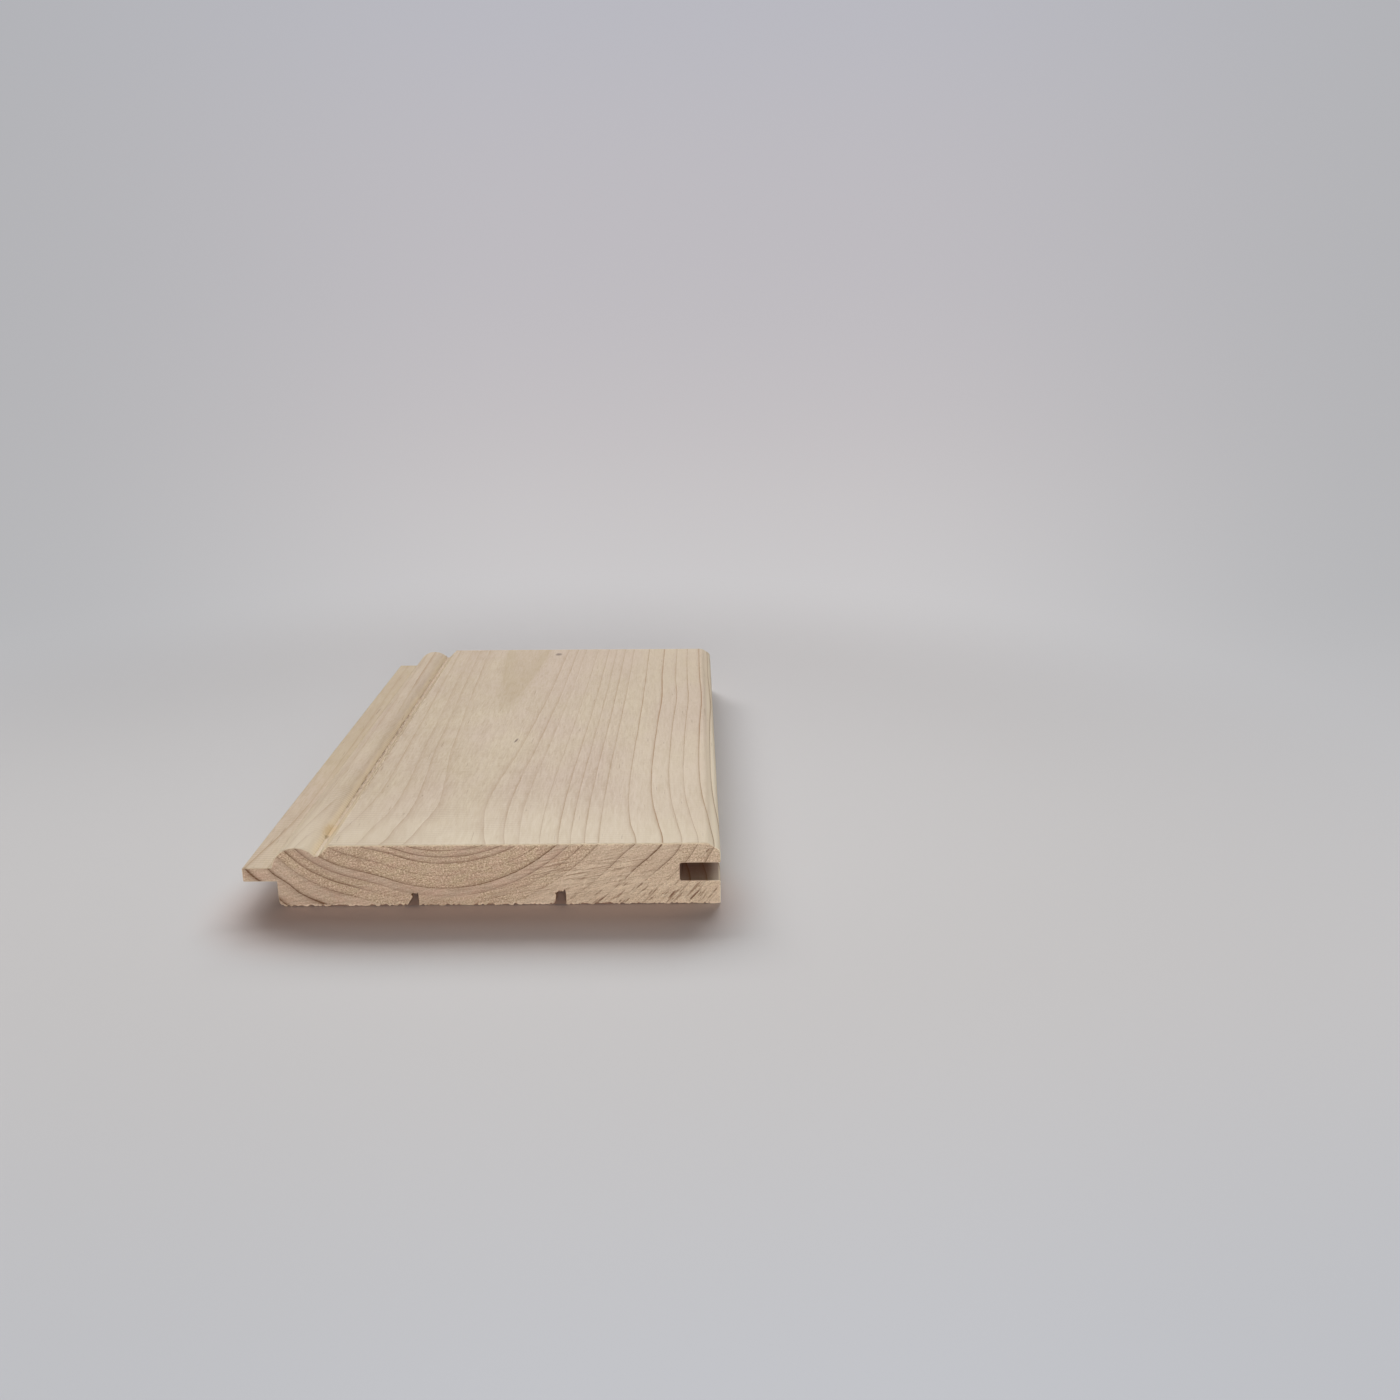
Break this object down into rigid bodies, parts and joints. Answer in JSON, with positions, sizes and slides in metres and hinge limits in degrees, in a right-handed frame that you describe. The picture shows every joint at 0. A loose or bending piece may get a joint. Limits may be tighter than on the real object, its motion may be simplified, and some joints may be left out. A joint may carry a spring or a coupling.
{
  "type": "beaded tongue and groove board",
  "caption": "Short length of beaded softwood panelling board with a tongue on one long edge, a groove in the other and relief grooves in its back.",
  "frame": {"origin": "middle of the board's full width and length, on the back", "axes": "+X from the tongue edge to the groove edge, +Y along the board, +Z from the back to the face"},
  "size_m": [0.129, 0.2, 0.018],
  "materials": {
    "spruce": "planed and unfinished, with sawn ends"
  },
  "bodies": {
    "root": {"board": "spruce"}
  },
  "joints": []
}
